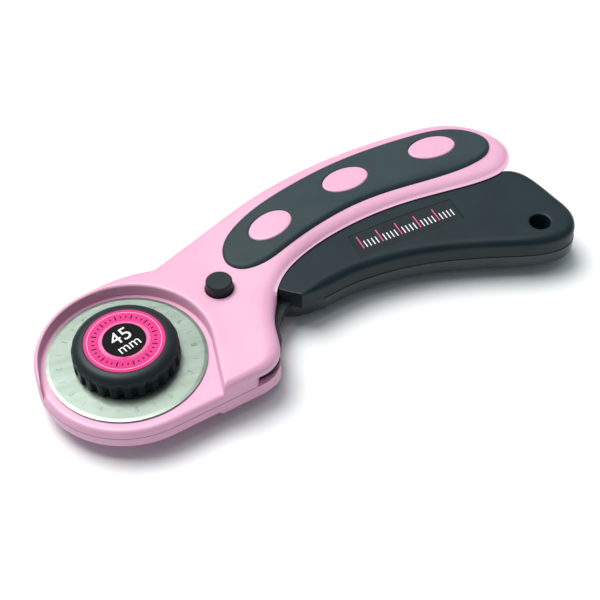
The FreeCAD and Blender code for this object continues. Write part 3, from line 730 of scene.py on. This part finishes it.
def joined(name, parts, body, material):
    """One piece from many small ones."""
    work = bmesh.new()
    for part in parts:
        work.from_mesh(part.data)
        bpy.data.objects.remove(part)
    mesh = bpy.data.meshes.new(name)
    work.to_mesh(mesh)
    work.free()
    piece = finish_mesh(name, mesh, body, material)


def badge():
    """The knob's badge: two fine lines, a black centre with the blade's size, and a ring scale."""
    under, slot = Z_BADGE - 0.1, "badge_print"
    flat_ring("badge_outer_line", 10.15, 10.40, under, Z_BADGE + 0.02, "knob", PALE_PINK)
    flat_ring("badge_centre", 0.0, 6.12, under, Z_BADGE + 0.06, "knob", BLACK)
    flat_ring("badge_bright_line", 6.85, 7.05, under, Z_BADGE + 0.03, "knob", PALE_PINK)
    for text, size, up in (("45", 6.4, 1.7), ("mm", 4.6, -2.35)):
        at = polar((0, 0), up, BADGE_TILT + 90)
        lettering("badge_" + text, text, size, at, BADGE_TILT, Z_BADGE + 0.07, 0.05, "knob", WHITE)
    marks = []
    for number in range(36):
        angle = number * 10.0
        length = 1.5 if number % 3 == 0 else 0.7
        at = polar((0, 0), 8.6, angle)
        marks.append(bar("mark%02d" % number, at, (length, 0.34), angle, Z_BADGE + 0.02, 0.06,
                         "knob", BLACK))
    joined("badge_scale", marks, "knob", BLACK)


# ------------------------------------------------------------ blade marks
def blade_marks():
    """Twelve stamped figures round the blade with a tick between each two."""
    z, thick, step = Z_BLADE + 0.012, 0.02, 30
    ticks = []
    for number in range(12):
        angle = FIGURES_DEG + step * number
        at = polar((0, 0), FIGURES_R, angle)
        lettering("blade_figure_%02d" % (number + 1), str(number + 1), 2.5, at, angle + 90, z, thick,
                  "cutter", STAMP)
    for number in range(12):
        angle = FIGURES_DEG + step * (number + 0.5)
        at = polar((0, 0), FIGURES_R, angle)
        ticks.append(bar("tick%02d" % number, at, (1.7, 0.16), angle, z, thick, "cutter", STAMP))
    joined("blade_ticks", ticks, "cutter", STAMP)


# ------------------------------------------------------------ trigger label
def trigger_scale():
    """A plain ruler on the trigger's label; every fifth tick is longer, and pink."""
    first, pitch, slope = 76.6, 1.28, 0.075
    ticks, fifths = [], []
    for number in range(25):
        fifth = number % 5 == 0
        length = 5.2 if fifth else 2.8
        x = first + number * pitch
        y = 11.4 + slope * (x - first) + length / 2
        tick = bar("label%02d" % number, (x, y), (0.36, length), 4.0, Z_LABEL, 0.05, "lever",
                   PRINT_PINK if fifth else WHITE)
        (fifths if fifth else ticks).append(tick)
    joined("trigger_scale", ticks, "lever", WHITE)
    joined("trigger_scale_fifths", fifths, "lever", PRINT_PINK)


front_shell()
seam_painted_shade()
front_grip()
trigger_cover(True)
trigger_cover(False)
knob()
badge()
blade_marks()
trigger_scale()

# ------------------------------------------------------------ finishes of the CAD nodes
FINISHES = {
    "front_shell": PINK, "rear_shell": PINK, "front_grip": GRIP, "rear_grip": GRIP,
    "trigger_front_cover": DARK, "trigger_rear_cover": DARK_GLOSS, "trigger_badge": LABEL,
    "lever_arm": LEVER_BLACK, "clamp_knob": KNOB, "lock_button": BUTTON, "lock_button_cap": BUTTON,
    "pivot_pin": STEEL, "pivot_washers": STEEL, "body_screws": STEEL, "trigger_screws": STEEL,
    "blade_bolt": STEEL, "detent_spring": SPRING, "return_spring": SPRING, "split_washer": SPRING,
    "blade": BLADE, "knob_insert": BRASS, "knob_badge": MAGENTA, "badge_ring": FOIL,
}
for name, material in FINISHES.items():
    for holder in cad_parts[name].material_slots:
        holder.material = material


# ------------------------------------------------------------ stage, light and camera
CAMERA_AT = (-44.29, -250.20, 296.13)     # mm from the blade's axis
CAMERA_AIM = (-21.0, 47.69, -1.26)        # azimuth, elevation and roll, degrees
LENS, SENSOR = 83.69, 36.0                # focal length and sensor width, mm


def stage():
    """A pale floor and a dim sky that looks near-white behind the object."""
    bpy.ops.mesh.primitive_plane_add(size=6.0, location=(0, 0, -0.0002))
    floor = bpy.context.object
    floor.name = "floor"
    material = surface("floor_white", [(0.93, 0.945, 0.95), (0.94, 0.955, 0.96)], 0.5, 0.03, 0.02, 2.0)
    floor.data.materials.append(material)
    world = bpy.data.worlds.new("studio")
    bpy.context.scene.world = world
    world.use_nodes = True
    tree = world.node_tree
    background = tree.nodes["Background"]
    backdrop = node(tree, "ShaderNodeBackground", Color=(0.97, 0.985, 1.0, 1.0), Strength=1.0)
    seen = node(tree, "ShaderNodeLightPath")
    blend = node(tree, "ShaderNodeMixShader")
    tree.links.new(seen.outputs["Is Camera Ray"], blend.inputs[0])
    tree.links.new(background.outputs[0], blend.inputs[1])
    tree.links.new(backdrop.outputs[0], blend.inputs[2])
    tree.links.new(blend.outputs[0], tree.nodes["World Output"].inputs["Surface"])
    background.inputs["Color"].default_value = (0.80, 0.93, 1.0, 1.0)
    background.inputs["Strength"].default_value = 0.25


def softbox(name, at, size, power, colour):
    """A square area light that faces the object's middle."""
    data = bpy.data.lights.new(name, "AREA")
    data.shape, data.size, data.energy, data.color = "SQUARE", size, power, colour
    light = bpy.data.objects.new(name, data)
    bpy.context.scene.collection.objects.link(light)
    light.location = at
    light.rotation_euler = (-Vector(at)).to_track_quat("-Z", "Y").to_euler()


def overhead(name, towards, spread, strength, colour):
    """Wide, even light from one side of the ceiling."""
    data = bpy.data.lights.new(name, "SUN")
    data.angle, data.energy, data.color = math.radians(spread), strength, colour
    light = bpy.data.objects.new(name, data)
    bpy.context.scene.collection.objects.link(light)
    light.rotation_euler = (-Vector(towards)).to_track_quat("-Z", "Y").to_euler()


def camera():
    """A long lens above and in front of the head, placed in the cutter's own frame."""
    azimuth, elevation, roll = (math.radians(angle) for angle in CAMERA_AIM)
    data = bpy.data.cameras.new("camera")
    data.lens, data.sensor_width = LENS, SENSOR
    view = bpy.data.objects.new("camera", data)
    bpy.context.scene.collection.objects.link(view)
    forward = Vector((-math.sin(azimuth) * math.cos(elevation), math.cos(azimuth) * math.cos(elevation),
                      -math.sin(elevation)))
    view.matrix_world = (Matrix.Translation(ORIGIN + Vector(CAMERA_AT) * MM)
                         @ forward.to_track_quat("-Z", "Y").to_matrix().to_4x4()
                         @ Matrix.Rotation(roll, 4, "Z"))
    bpy.context.scene.camera = view


stage()
overhead("key", (-0.18, 0.34, 0.80), 38.0, 3.0, (1.0, 0.985, 0.96))
softbox("top", (0.02, -0.06, 0.85), 0.16, 0.45, (1.0, 1.0, 1.0))
softbox("fill", (0.6, 0.5, 0.7), 0.9, 1.2, (0.93, 0.98, 1.0))
camera()
bpy.context.scene.view_settings.view_transform = "Standard"
